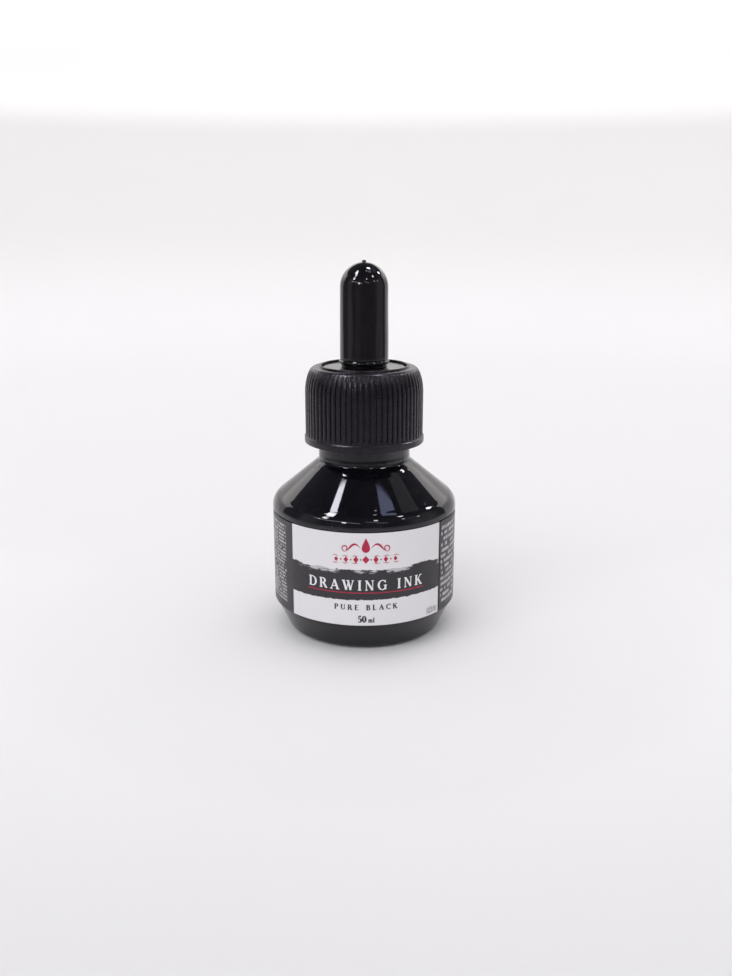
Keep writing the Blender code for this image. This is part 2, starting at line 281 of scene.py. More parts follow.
class Shader:
    """A material whose node tree is built by short calls; each returns an output socket."""

    def __init__(self, name, **values):
        self.material = bpy.data.materials.new(name)
        self.material.use_nodes = True
        self.tree = self.material.node_tree
        self.surface = self.tree.nodes["Principled BSDF"]
        self.fill(self.surface, {k.replace("_", " "): v for k, v in values.items()})
        self.object = self.add("TexCoord").outputs["Object"]
        self.mm = self.vector("MULTIPLY", self.object, (1000.0, 1000.0, 1000.0))
        self.x, self.y, self.z = self.add("SeparateXYZ", {0: self.mm}).outputs
        squares = [self.math("POWER", side, 2.0) for side in (self.x, self.y)]
        self.radius = self.math("SQRT", self.plus(*squares))
        self.azimuth = self.math("ARCTAN2", self.x, self.math("MULTIPLY", self.y, -1.0))

    def fill(self, node, values):
        for key, value in values.items():
            socket = node.inputs[key]
            if isinstance(value, bpy.types.NodeSocket):
                self.tree.links.new(value, socket)
            elif socket.type == "RGBA" and len(value) == 3:
                socket.default_value = (*value, 1.0)
            else:
                socket.default_value = value

    def add(self, kind, values=None, **settings):
        node = self.tree.nodes.new("ShaderNode" + kind)
        for key, value in settings.items():
            setattr(node, key, value)
        self.fill(node, values or {})
        return node

    def math(self, operation, a, b=0.0):
        return self.add("Math", {0: a, 1: b}, operation=operation).outputs[0]

    def vector(self, operation, a, b):
        return self.add("VectorMath", {0: a, 1: b}, operation=operation).outputs[0]

    def place(self, x, y, z=0.0):
        return self.add("CombineXYZ", {0: x, 1: y, 2: z}).outputs[0]

    def times(self, a, b):
        return self.math("MULTIPLY", a, b)

    def plus(self, a, b):
        return self.math("ADD", a, b)

    def noise(self, scale, detail=2.0, rough=0.5, at=None, stretch=None):
        place = at or self.mm
        if stretch:
            place = self.vector("MULTIPLY", place, stretch)
        values = {"Vector": place, "Scale": scale, "Detail": detail, "Roughness": rough}
        return self.add("TexNoise", values).outputs[0]

    def cells(self, scale):
        return self.add("TexVoronoi", {"Vector": self.mm, "Scale": scale}).outputs["Distance"]

    def remap(self, value, low, high, a=0.0, b=1.0):
        values = {0: value, 1: low, 2: high, 3: a, 4: b}
        return self.add("MapRange", values, interpolation_type="SMOOTHSTEP").outputs[0]

    def within(self, value, low, high, soft):
        """1 between low and high, with soft edges."""
        up = self.remap(value, low - soft, low + soft)
        return self.times(up, self.remap(value, high - soft, high + soft, 1.0, 0.0))

    def mix(self, factor, a, b):
        node = self.add("Mix", data_type="RGBA")
        for index, value in ((0, factor), (6, a), (7, b)):
            self.fill(node, {index: value})
        return node.outputs[2]

    def bump(self, height, strength, distance, normal=None):
        values = {"Height": height, "Strength": strength, "Distance": distance}
        if normal:
            values["Normal"] = normal
        return self.add("Bump", values).outputs["Normal"]

    def use(self, **values):
        self.fill(self.surface, {k.replace("_", " "): v for k, v in values.items()})
        return self.material


def dust(shader, amount):
    """Sparse pale specks, clustered in patches."""
    specks = shader.remap(shader.cells(1.6), 0.05, 0.11, 1.0, 0.0)
    patch = shader.remap(shader.noise(0.16, 1.0), 0.52, 0.70)
    return shader.times(shader.times(specks, patch), amount)


def scratches(shader):
    """Fine hairlines running mostly round and along the piece."""
    along = shader.noise(1.0, 2.0, 0.6, stretch=(5.0, 5.0, 0.35))
    across = shader.noise(1.0, 2.0, 0.6, stretch=(0.4, 0.4, 7.0))
    one = shader.remap(shader.math("ABSOLUTE", shader.plus(along, -0.5)), 0.0, 0.012, 1.0, 0.0)
    two = shader.remap(shader.math("ABSOLUTE", shader.plus(across, -0.5)), 0.0, 0.010, 1.0, 0.0)
    where = shader.remap(shader.noise(0.22, 1.0), 0.50, 0.66)
    return shader.times(shader.math("MAXIMUM", one, two), where)


def bottle_material():
    s = Shader("gloss_black_plastic", Metallic=0.0, IOR=1.5, Specular_Tint=(1.0, 0.95, 1.0))
    haze = s.noise(0.35, 3.0)
    marks = scratches(s)
    tint = s.mix(s.remap(haze, 0.35, 0.65), (0.0028, 0.0026, 0.0042), (0.0042, 0.0038, 0.0060))
    color = s.mix(dust(s, 0.75), tint, (0.30, 0.31, 0.34))
    rough = s.plus(s.remap(haze, 0.3, 0.7, 0.022, 0.050), s.times(marks, 0.08))
    waves = s.noise(0.085, 1.0, at=s.vector("MULTIPLY", s.mm, (1.0, 1.0, 0.8)))
    flow = s.bump(waves, 0.12, 0.0004)
    shoulder_bend = s.within(s.z, SHOULDER - 2.2, SHOULDER + 1.2, 0.7)
    neck_bend = s.within(s.z, NECK_FOOT - 1.3, NECK_FOOT + 1.2, 0.5)
    swell = s.times(s.noise(0.16, 1.0), s.times(shoulder_bend, 0.55))
    folds = s.times(s.noise(0.45, 2.0, 0.6), s.times(neck_bend, 0.40))
    creased = s.bump(s.plus(swell, folds), 0.5, 0.0007, flow)
    grain = s.bump(s.noise(3.2, 2.0), 0.05, 0.00002, creased)
    return s.use(Base_Color=color, Roughness=rough, Normal=grain)


def cap_material():
    s = Shader("satin_black_plastic", Metallic=0.0, IOR=1.48, Specular_Tint=(0.97, 0.90, 1.0))
    patch = s.noise(0.5, 3.0)
    grain = s.noise(14.0, 3.0, 0.6)
    wear = s.remap(s.math("ABSOLUTE", s.plus(s.noise(2.4, 3.0), -0.5)), 0.0, 0.02, 0.25, 0.0)
    base = s.mix(s.remap(patch, 0.3, 0.7), (0.0044, 0.0030, 0.0058), (0.0068, 0.0052, 0.0084))
    color = s.mix(s.math("MAXIMUM", dust(s, 0.4), s.times(wear, 0.06)), base, (0.14, 0.14, 0.15))
    rough = s.plus(s.remap(patch, 0.3, 0.7, 0.23, 0.31), s.times(grain, 0.04))
    fine = s.bump(grain, 0.10, 0.00004)
    swell = s.bump(s.noise(0.5, 1.0), 0.08, 0.00025, fine)
    return s.use(Base_Color=color, Roughness=rough, Normal=swell)


def insert_material():
    s = Shader("gloss_black_insert", Metallic=0.0, IOR=1.5)
    patch = s.noise(0.6, 2.0)
    rings = s.math("SINE", s.times(s.radius, 38.0))
    color = s.mix(dust(s, 0.5), (0.006, 0.006, 0.007), (0.2, 0.2, 0.2))
    rough = s.plus(s.remap(patch, 0.3, 0.7, 0.10, 0.17), s.times(scratches(s), 0.12))
    turned_marks = s.bump(rings, 0.05, 0.00002)
    return s.use(Base_Color=color, Roughness=rough, Normal=turned_marks)


def rubber_material():
    s = Shader("gloss_black_rubber", Metallic=0.0, IOR=1.5, Specular_Tint=(1.0, 0.95, 1.0))
    patch = s.noise(0.7, 3.0, stretch=(1.0, 1.0, 0.45))
    peel = s.noise(1.3, 1.0)
    run = s.noise(0.35, 1.0, stretch=(1.4, 1.4, 0.15))
    base = s.mix(s.remap(patch, 0.3, 0.7), (0.0040, 0.0032, 0.0046), (0.0062, 0.0054, 0.0068))
    color = s.mix(dust(s, 0.3), base, (0.16, 0.16, 0.17))
    rough = s.remap(patch, 0.25, 0.75, 0.035, 0.085)
    runs = s.bump(run, 0.25, 0.0003)
    skin = s.bump(peel, 0.10, 0.00005, runs)
    return s.use(Base_Color=color, Roughness=rough, Normal=skin)


def foam_material():
    s = Shader("white_foam", Roughness=0.85, Metallic=0.0)
    pores = s.cells(5.5)
    stain = s.remap(s.noise(0.5, 3.0), 0.5, 0.72)
    clean = s.mix(pores, (0.74, 0.74, 0.71), (0.56, 0.56, 0.53))
    color = s.mix(s.times(stain, 0.6), clean, (0.10, 0.10, 0.115))
    return s.use(Base_Color=color, Normal=s.bump(pores, 0.5, 0.00012))


def glass_material():
    s = Shader("drawn_glass", IOR=1.5, Transmission_Weight=1.0, Metallic=0.0)
    within_bore = s.remap(s.radius, 2.62, 2.85, 1.0, 0.0)
    near_tip = s.remap(s.z, 17.0, 31.0, 1.0, 0.0)
    drops = s.noise(0.8, 4.0, 0.6, stretch=(1.0, 1.0, 0.6))
    film = s.remap(s.plus(s.times(near_tip, 0.34), drops), 0.56, 0.70)
    ink = s.times(s.times(film, within_bore), near_tip)
    color = s.mix(ink, (0.95, 0.975, 0.97), (0.012, 0.012, 0.02))
    rough = s.remap(s.noise(0.6, 3.0), 0.45, 0.75, 0.015, 0.09)
    draw = s.bump(s.noise(0.5, 1.0, stretch=(2.0, 2.0, 0.1)), 0.2, 0.0002)
    return s.use(Base_Color=color, Roughness=rough, Normal=draw)


# The label's print, as (arc from the front's middle line, height) in millimetres.
PANEL = (-19.4, 20.66)
BAND_LOW = 14.05
BAND_HIGH = 21.65
BATCH_ARC = (16.5, 20.2)
BATCH_HEIGHT = (8.1, 9.75)
BATCH_PITCH = 0.62
# each column's ends along the arc, row spacing, top, bottom and type size
COLUMNS = (
    ((-46.0, -22.3), 0.87, 29.5, 9.3, 0.55),
    ((21.75, 46.0), 1.45, 29.5, 9.3, 0.95),
    ((-69.5, -50.0), 1.02, 29.5, 12.0, 0.66),
    ((50.0, 69.5), 1.02, 29.5, 15.0, 0.66),
)
CHARCOAL = (0.027, 0.0245, 0.030)


def small_print(s, arc_mm, span, row, high, low, size):
    """Greeked lines of type: rows of broken strokes that spell nothing."""
    rows = s.math("DIVIDE", s.math("SUBTRACT", high, s.z), row)
    line = s.math("FLOOR", rows)
    part = s.math("FRACT", rows)
    ink = s.within(part, 0.22, 0.80, 0.09)
    words_at = s.place(s.times(arc_mm, 1.0 / size), s.times(line, 7.31))
    words = s.remap(s.noise(0.52, 0.0, at=words_at), 0.38, 0.44)
    strokes_at = s.place(s.times(arc_mm, 5.2 / size), s.times(line, 3.7), s.times(part, 1.3))
    strokes = s.remap(s.noise(0.9, 1.0, at=strokes_at), 0.40, 0.56, 0.25, 1.0)
    inside = s.within(arc_mm, span[0], span[1], 0.05)
    block = s.times(inside, s.within(s.z, low, high, 0.05))
    return s.times(s.times(s.times(ink, words), strokes), block)


def label_material():
    s = Shader("label_print", Metallic=0.0, IOR=1.48)
    along = s.times(s.azimuth, LABEL_RADIUS)
    at = s.place(along, s.z)
    panel = s.within(along, PANEL[0], PANEL[1], 0.04)
    # brush band: slow waves, a ragged edge and dry streaks near its upper edge
    slow = s.noise(0.11, 1.0, at=s.vector("MULTIPLY", at, (1.0, 0.0, 1.0)))
    ragged = s.noise(0.8, 4.0, 0.65, at=s.vector("MULTIPLY", at, (1.0, 0.6, 1.0)))
    tear = s.noise(2.6, 3.0, 0.7, at=at)
    upper = s.plus(s.times(s.plus(slow, -0.5), 2.2), s.times(s.plus(ragged, -0.5), 1.1))
    upper = s.plus(s.plus(upper, s.times(s.plus(tear, -0.5), 0.5)), BAND_HIGH)
    lower = s.plus(s.times(s.plus(ragged, -0.5), 0.75), s.times(s.plus(tear, -0.5), 0.25))
    lower = s.plus(s.plus(lower, s.times(along, 0.012)), BAND_LOW)
    below_top = s.math("SUBTRACT", upper, s.z)
    band = s.times(s.remap(below_top, -0.06, 0.06), s.remap(s.math("SUBTRACT", s.z, lower), -0.05, 0.05))
    bristle = s.noise(1.0, 3.0, 0.7, at=s.vector("MULTIPLY", at, (0.55, 3.6, 1.0)))
    dry_zone = s.times(s.remap(below_top, 0.1, 1.6, 1.0, 0.0), s.remap(s.noise(0.16, 1.0, at=at), 0.40, 0.58))
    streaks = s.remap(s.plus(bristle, s.times(dry_zone, 0.30)), 0.60, 0.74)
    dry = s.times(streaks, s.remap(dry_zone, 0.02, 0.25))
    inked = s.math("SUBTRACT", band, s.times(s.times(band, dry), 0.70))
    paper = s.mix(s.noise(0.3, 3.0, at=at), (0.735, 0.720, 0.755), (0.775, 0.760, 0.790))
    front = s.mix(inked, paper, CHARCOAL)
    fibres = s.mix(s.noise(1.2, 3.0, at=at), (0.029, 0.026, 0.032), (0.039, 0.036, 0.042))
    color = s.mix(panel, fibres, front)
    left, right, back, back2 = [small_print(s, along, *column) for column in COLUMNS]
    pale = s.math("MAXIMUM", s.math("MAXIMUM", left, right), s.math("MAXIMUM", back, back2))
    color = s.mix(pale, color, (0.50, 0.49, 0.50))
    digits = s.remap(s.noise(1.7, 1.0, at=at), 0.40, 0.47)
    pitch = s.within(s.math("FRACT", s.times(along, 1.0 / BATCH_PITCH)), 0.18, 0.86, 0.10)
    block = s.times(s.within(along, *BATCH_ARC, 0.05), s.within(s.z, *BATCH_HEIGHT, 0.06))
    batch = s.times(s.times(digits, pitch), block)
    color = s.mix(s.times(batch, 0.8), color, (0.09, 0.09, 0.10))
    rough = s.plus(s.remap(s.noise(0.5, 3.0), 0.3, 0.7, 0.34, 0.44), s.times(inked, 0.04))
    rough = s.plus(rough, s.times(scratches(s), 0.06))
    film = s.bump(s.noise(0.10, 2.0, at=at), 0.18, 0.0008)
    tooth = s.bump(s.noise(9.0, 2.0, at=at), 0.12, 0.00003, film)
    return s.use(Base_Color=color, Roughness=rough, Normal=tooth)


def print_material(name, dark, light, gloss):
    s = Shader(name, Metallic=0.0, IOR=1.48)
    color = s.mix(s.remap(s.noise(3.0, 3.0), 0.35, 0.65), dark, light)
    rough = s.remap(s.noise(1.1, 2.0), 0.3, 0.7, gloss - 0.05, gloss + 0.05)
    return s.use(Base_Color=color, Roughness=rough, Normal=s.bump(s.noise(9.0, 2.0), 0.1, 0.00003))


# ---------------------------------------------------------------- the bottle


def make_bottle():
    slope = (BODY_RADIUS - NECK_RADIUS) / (NECK_FOOT - SHOULDER)
    panel = BODY_RADIUS - RECESS
    inner = panel - WALL
    inner_shoulder = SHOULDER + (BODY_RADIUS - inner) / slope - CONE_DROP
    inner_foot = NECK_FOOT + (NECK_RADIUS - NECK_BORE) / slope - CONE_DROP
    inside = [
        (0.0, FLOOR),
        (FOOT_INNER - 2.6, FLOOR - 0.6, 2.0),
        (FOOT_INNER, 1.6, 0.5),
        (HEEL_RADIUS - 1.7, 1.4, 0.5),
        (inner, RECESS_BOTTOM + 0.3, 2.0),
        (inner, inner_shoulder, SHOULDER_FILLET - WALL),
        (NECK_BORE, inner_foot, 1.0),
        (NECK_BORE, RIM, 0.25),
    ]
    outside = [
        (NECK_RADIUS, RIM, 0.5),
        (NECK_RADIUS, NECK_FOOT, 1.1),
        (BODY_RADIUS, SHOULDER, SHOULDER_FILLET),
        (BODY_RADIUS, RECESS_TOP + 0.18, 0.12),
        (panel, RECESS_TOP - 0.1, 0.12),
        (panel, RECESS_BOTTOM, 2.5),
        (HEEL_RADIUS, 0.0, 2.0),
        (FOOT_INNER, 0.0, 0.4),
        (FOOT_INNER - 1.2, PUSH_UP - 1.2, 0.5),
        (FOOT_INNER - 4.2, PUSH_UP - 0.35, 1.5),
        (0.0, PUSH_UP),
    ]
    points = dense(outline(inside + outside), 0.22, THREAD_START - 2.0, RIM - 1.0)
    points = dense(points, 1.2)
    count_inside = min(i for i, p in enumerate(points) if p[1] > RIM - 0.05)
    last = len(points) - 1

    def shift(r, z, a, index):
        outer = index > count_inside + 4
        ridge = (NECK_CREST - NECK_RADIUS) * thread(z, a, THREAD_START)
        r = r + ridge * outer * (np.abs(r - NECK_RADIUS) < 0.02)
        # the mould's parting line, faint on the neck, shoulder and wall
        off = np.minimum(np.abs(np.sin(a)) * np.maximum(r, 1.0), 1.0)
        seam = smooth(1.0 - off / 0.22)
        shown = outer * (r > 11.0) * (z > RECESS_TOP) * (z < CAP_BOTTOM + 3.0)
        r = r + PARTING_LINE * seam * shown
        # the pinch-off weld across the underside
        under = (index > last - 16) & (r < FOOT_INNER - 2.0) & outer & (z < FLOOR - 0.9)
        weld = smooth(1.0 - np.abs(r * np.sin(a)) / 0.45)
        z = z - PINCH_WELD * weld * under * (r > 0.5)
        return r, z

    angles = around(216, (0.0, math.pi))
    bottle = turned("bottle_shell", points, angles, bottle_material(), shift=shift, sharp=40.0)
    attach(bottle, "bottle_body")
    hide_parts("bottle")


# ---------------------------------------------------------------- the label


def wrapped(arc_mm, height, r):
    """The point at an arc length from the front's middle, a height and a radius."""
    azimuth = arc_mm / LABEL_RADIUS
    return (r * math.sin(azimuth) * MM, -r * math.cos(azimuth) * MM, height * MM)


def make_label():
    """A C-shaped film with rounded corners, lifting a hair's breadth at its two ends."""
    half_gap = LABEL_SEAM / 2.0
    start = math.radians(LABEL_SEAM_AZIMUTH) * LABEL_RADIUS + half_gap
    length = TURN * LABEL_RADIUS - LABEL_SEAM
    ends = [0.0, 0.05, 0.15, 0.35, 0.6, 0.9]
    stations = ends + list(np.linspace(1.2, length - 1.2, 320)) + [length - e for e in ends[::-1]]
    rows = 24
    points, faces = [], []
    for s in stations:
        edge = min(s, length - s)
        trim = 0.25 * (1.0 - math.sqrt(max(0.0, 1.0 - (1.0 - min(edge, 0.6) / 0.6) ** 2)))
        lift = 0.03 * (1.0 - min(edge, 1.2) / 1.2) ** 2
        for k in range(rows + 1):
            z = LABEL_BOTTOM + trim + (LABEL_TOP - LABEL_BOTTOM - 2.0 * trim) * k / rows
            ripple = 0.006 * math.sin(s * 0.9 + z * 0.35) * math.sin(z * 0.8)
            outer = LABEL_RADIUS - 0.012 + lift + ripple
            points.append(wrapped(start + s, z, outer))
            points.append(wrapped(start + s, z, outer - LABEL_FILM))
    stride = 2 * (rows + 1)
    for i in range(len(stations) - 1):
        for k in range(rows):
            a, b = i * stride + 2 * k, (i + 1) * stride + 2 * k
            faces.append((a, b, b + 2, a + 2))
            faces.append((a + 1, a + 3, b + 3, b + 1))
        a, b = i * stride, (i + 1) * stride
        faces.append((a, a + 1, b + 1, b))
        a, b = a + 2 * rows, b + 2 * rows
        faces.append((a, b, b + 1, a + 1))
    for base, flip in ((0, False), ((len(stations) - 1) * stride, True)):
        for k in range(rows):
            a = base + 2 * k
            face = (a, a + 2, a + 3, a + 1)
            faces.append(face[::-1] if flip else face)
    label = new_piece("label_film", points, faces, label_material())
    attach(label, "bottle_body")
    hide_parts("wrap_label")


# stroke widths and serif height as shares of the type's size
THICK, THIN, SERIF = 0.150, 0.066, 0.054


def bowl(cx, cy, rx, ry, start, end, thick=THICK, thin=THIN, count=16):
    """A curved stroke, thick where it runs upright and thin where it runs level."""
    stroke = []
    for a in np.radians(np.linspace(start, end, count + 1)):
        x, y = cx + rx * math.cos(a), cy + ry * math.sin(a)
        stroke.append((x, y, thin + (thick - thin) * abs(math.cos(a)) ** 1.6))
    return stroke


def bar(x0, y0, x1, y1, w=THIN):
    return [(x0, y0, w), (x1, y1, w)]


def foot(x, y, half=0.15):
    """A serif, lying just inside the line y = 0 or y = 1 that it closes."""
    y = y + SERIF / 2.0 if y < 0.5 else y - SERIF / 2.0
    return [(x - half, y, SERIF * 0.8), (x, y, SERIF * 1.5), (x + half, y, SERIF * 0.8)]


def stem(x):
    return [bar(x, 0.0, x, 1.0, THICK), foot(x, 0.0, THICK / 2 + 0.10), foot(x, 1.0, THICK / 2 + 0.10)]


GLYPHS = {
    "A": (0.84, [
        bar(0.10, 0.0, 0.43, 0.98),
        [(0.41, 1.0, THICK), (0.76, 0.0, THICK)],
        bar(0.20, 0.33, 0.64, 0.33),
        foot(0.10, 0.0),
        foot(0.76, 0.0, 0.18),
    ]),
    "B": (0.66, stem(0.14) + [
        bar(0.14, 0.97, 0.34, 0.97),
        bowl(0.34, 0.75, 0.19, 0.22, 90, -90),
        bar(0.14, 0.53, 0.36, 0.53),
        bowl(0.36, 0.28, 0.24, 0.25, 90, -90),
        bar(0.14, 0.03, 0.36, 0.03),
    ]),
    "C": (0.74, [bowl(0.46, 0.5, 0.38, 0.48, 42, 318), [(0.735, 0.99, 0.03), (0.735, 0.68, 0.05)]]),
    "D": (0.82, stem(0.14) + [
        bar(0.14, 0.97, 0.36, 0.97),
        bowl(0.36, 0.5, 0.38, 0.47, 90, -90),
        bar(0.14, 0.03, 0.36, 0.03),
    ]),
    "E": (0.64, stem(0.14) + [
        bar(0.14, 0.97, 0.56, 0.97),
        bar(0.14, 0.52, 0.46, 0.52),
        bar(0.14, 0.03, 0.60, 0.03),
        [(0.57, 1.0, 0.04), (0.57, 0.80, 0.03)],
        [(0.47, 0.63, 0.03), (0.47, 0.41, 0.03)],
        [(0.61, 0.22, 0.03), (0.60, 0.0, 0.05)],
    ]),
    "G": (0.82, [
        bowl(0.46, 0.5, 0.38, 0.48, 44, 322),
        [(0.75, 0.99, 0.03), (0.75, 0.70, 0.05)],
        [(0.74, 0.04, THICK * 0.9), (0.74, 0.42, THICK * 0.9)],
        foot(0.74, 0.44, 0.16),
    ]),
    "I": (0.32, stem(0.16)),
    "K": (0.78, stem(0.14) + [
        bar(0.20, 0.42, 0.62, 0.98),
        [(0.33, 0.60, THICK), (0.68, 0.0, THICK)],
        foot(0.64, 1.0, 0.13),
        foot(0.70, 0.0, 0.15),
    ]),
    "L": (0.62, stem(0.14) + [bar(0.14, 0.03, 0.56, 0.03), [(0.585, 0.26, 0.03), (0.57, 0.0, 0.05)]]),
    "N": (0.86, [
        bar(0.13, 0.0, 0.13, 1.0, 0.065),
        [(0.13, 1.0, THICK * 0.8), (0.72, 0.02, THICK)],
        bar(0.73, 0.0, 0.73, 1.0, 0.065),
        foot(0.13, 0.0, 0.13),
        foot(0.08, 1.0, 0.09),
        foot(0.73, 1.0, 0.13),
    ]),
    "P": (0.64, stem(0.14) + [
        bar(0.14, 0.97, 0.34, 0.97),
        bowl(0.34, 0.73, 0.24, 0.24, 90, -90),
        bar(0.14, 0.49, 0.34, 0.49),
    ]),
    "R": (0.76, stem(0.14) + [
        bar(0.14, 0.97, 0.34, 0.97),
        bowl(0.34, 0.74, 0.22, 0.23, 90, -90),
        bar(0.14, 0.51, 0.34, 0.51),
        [(0.38, 0.52, THICK), (0.70, 0.0, THICK)],
        foot(0.72, 0.0, 0.10),
    ]),
    "U": (0.82, [
        [(0.16, 1.0, THICK), (0.16, 0.34, THICK)],
        bowl(0.43, 0.34, 0.27, 0.31, 180, 360, THICK * 0.8),
        [(0.70, 0.34, 0.07), (0.70, 1.0, 0.07)],
        foot(0.16, 1.0, 0.17),
        foot(0.70, 1.0, 0.13),
    ]),
    "W": (1.16, [
        [(0.12, 1.0, THICK), (0.40, 0.0, THICK)],
        bar(0.40, 0.02, 0.62, 0.98),
        [(0.56, 1.0, THICK), (0.82, 0.0, THICK)],
        bar(0.82, 0.02, 1.04, 0.98),
        foot(0.12, 1.0, 0.17),
        foot(0.56, 1.0, 0.15),
        foot(1.04, 1.0, 0.12),
    ]),
    "5": (0.56, [
        bar(0.14, 0.95, 0.50, 0.97, 0.11),
        bar(0.15, 0.97, 0.11, 0.55, 0.06),
        bowl(0.24, 0.31, 0.25, 0.28, 118, -128),
    ]),
    "0": (0.62, [bowl(0.30, 0.5, 0.21, 0.465, 0, 360, count=24)]),
    "m": (0.92, [
        bar(0.14, 0.0, 0.14, 0.62, 0.11),
        bowl(0.29, 0.45, 0.15, 0.15, 180, 0, 0.11, 0.06),
        bar(0.44, 0.0, 0.44, 0.45, 0.11),
        bowl(0.59, 0.45, 0.15, 0.15, 180, 0, 0.11, 0.06),
        bar(0.74, 0.0, 0.74, 0.45, 0.11),
        foot(0.14, 0.0, 0.12),
        foot(0.44, 0.0, 0.12),
        foot(0.74, 0.0, 0.12),
    ]),
    "l": (0.30, [bar(0.14, 0.0, 0.14, 1.0, 0.11), foot(0.14, 0.0, 0.13), bar(0.04, 0.95, 0.16, 0.98, 0.05)]),
    " ": (0.42, []),
}


# how far the ink reaches outside and inside the label's radius
INK_LIFT = 0.012
INK_ROOT = 0.02


def ribbons(name, strokes, material):
    """Printed strokes as thin closed ribbons on the label; a stroke's points are (arc, height, width)."""
    points, faces = [], []
    root = LABEL_RADIUS - INK_ROOT
    for number, stroke in enumerate(strokes):
        path = [stroke[0]]
        for one, two in zip(stroke, stroke[1:]):
            count = max(1, math.ceil(math.dist(one[:2], two[:2]) / 0.35))
            step = (np.array(two) - np.array(one)) / count
            path += [tuple(np.array(one) + step * i) for i in range(1, count + 1)]
        # five levels, so that crossing strokes don't share a face
        level = LABEL_RADIUS + INK_LIFT + 0.0007 * (number % 5)
        first = len(points)
        for i, (u, v, w) in enumerate(path):
            before, after = path[max(i - 1, 0)], path[min(i + 1, len(path) - 1)]
            du, dv = after[0] - before[0], after[1] - before[1]
            size = math.hypot(du, dv) or 1.0
            nu, nv = -dv / size * w / 2.0, du / size * w / 2.0
            for side, r in ((1, level), (-1, level), (-1, root), (1, root)):
                points.append(wrapped(u + side * nu, v + side * nv, r))
        for i in range(len(path) - 1):
            a, b = first + 4 * i, first + 4 * i + 4
            for k in range(4):
                m = (k + 1) % 4
                faces.append((a + k, a + m, b + m, b + k))
        last = first + 4 * (len(path) - 1)
        faces.append((first + 3, first + 2, first + 1, first))
        faces.append((last, last + 1, last + 2, last + 3))
    piece = new_piece(name, points, faces, material)
    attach(piece, "bottle_body")


def text(words, middle, base, size, tracking, weight):
    """A line of type as strokes in millimetres, centred on an arc position."""
    width = sum(GLYPHS[c][0] + tracking for c in words) - tracking
    cursor = -width / 2.0
    strokes = []
    for c in words:
        advance, glyph = GLYPHS[c]
        for stroke in glyph:
            place = middle + cursor * size
            strokes.append([(place + x * size, base + y * size, w * size * weight) for x, y, w in stroke])
        cursor += advance + tracking
    return strokes


DROP_LOW, DROP_TALL, DROP_WIDE = 25.85, 3.6, 2.1
SWASH_HEIGHT, SWASH_START, SWASH_REACH, SWASH_RISE = 27.0, 1.3, 3.6, 0.95
CURL_RADIUS = 0.80
BAND_MIDDLE, BAND_STEP = 24.15, 2.35


def swash(middle, side):
    """A tapering pen flourish that ends in a curl."""
    path = []
    for t in np.linspace(0.0, 1.0, 26):
        u = SWASH_START + SWASH_REACH * t
        v = SWASH_RISE * math.sin(t * 4.4)
        path.append((middle + side * u, SWASH_HEIGHT + v, 0.08 + 0.42 * math.sin(math.pi * t) ** 1.4))
    end = path[-1]
    curl = []
    for t in np.linspace(0.0, 1.0, 22):
        a = math.radians(-90.0 + 350.0 * t)
        size = CURL_RADIUS * (1.0 - 0.50 * t)
        u = end[0] + side * size * math.cos(a)
        v = end[1] + CURL_RADIUS + size * math.sin(a)
        curl.append((u, v, 0.14 + 0.16 * math.sin(math.pi * t)))
    return [path, curl]


def lozenge(u, v, wide, tall):
    return [(u, v - tall / 2.0, 0.04), (u, v, wide), (u, v + tall / 2.0, 0.04)]


def ornament(middle):
    """A drop of ink between two flourishes, over a band of lozenges and dots."""
    drop = []
    for t in np.linspace(0.0, 1.0, 28):
        belly = math.sin(math.pi * t**0.62) ** 0.9 * (1.0 - t * 0.25)
        drop.append((middle, DROP_LOW + DROP_TALL * t, max(0.03, DROP_WIDE * belly)))
    strokes = [drop] + swash(middle, 1.0) + swash(middle, -1.0)
    strokes.append(lozenge(middle, BAND_MIDDLE, 1.7, 1.9))
    for side in (-1.0, 1.0):
        for k in range(3):
            u = middle + side * BAND_STEP * (1 + k)
            strokes.append(lozenge(u, BAND_MIDDLE, 1.25 - 0.15 * k, 1.75 - 0.25 * k))
            strokes.append(lozenge(u - side * 1.15, BAND_MIDDLE, 0.42, 0.55))
            for way in (1.0, -1.0):
                low, high = BAND_MIDDLE + way * 0.75, BAND_MIDDLE + way * 0.98
                leaf = ((-0.55, low, 0.05), (0.2, high, 0.18), (0.95, low, 0.05))
                strokes.append([(u + side * du, v, w) for du, v, w in leaf])
    return strokes


# each line's height, type size, tracking and stroke weight
TITLE = (16.55, 2.44, 0.37, 1.38)
COLOUR_NAME = (11.55, 1.30, 0.52, 1.75)
VOLUME = (8.42, 1.62, 0.08, 2.0)
VOLUME_UNIT = (8.42, 1.20, 0.04, 2.2)
RULE_HEIGHT, RULE_REACH, RULE_WIDTH = 15.86, 14.7, 0.24


def make_print():
    white = print_material("ink_white", (0.76, 0.75, 0.78), (0.84, 0.83, 0.86), 0.36)
    black = print_material("ink_black", (0.020, 0.019, 0.022), (0.034, 0.032, 0.037), 0.34)
    red = print_material("ink_red", (0.37, 0.007, 0.040), (0.46, 0.012, 0.054), 0.34)
    middle = (PANEL[0] + PANEL[1]) / 2.0 - 0.2
    ribbons("print_title", text("DRAWING INK", middle, *TITLE), white)
    ribbons("print_colour", text("PURE BLACK", middle, *COLOUR_NAME), black)
    volume = text("50", middle - 0.92, *VOLUME) + text("ml", middle + 1.30, *VOLUME_UNIT)
    ribbons("print_volume", volume, black)
    reach = np.linspace(-RULE_REACH, RULE_REACH, 60)
    rule = [(middle + s, RULE_HEIGHT + 0.0006 * (abs(s) - 8.0), RULE_WIDTH) for s in reach]
    ribbons("print_rule", [rule], red)
    ribbons("print_ornament", ornament(middle), red)


# ---------------------------------------------------------------- the cap


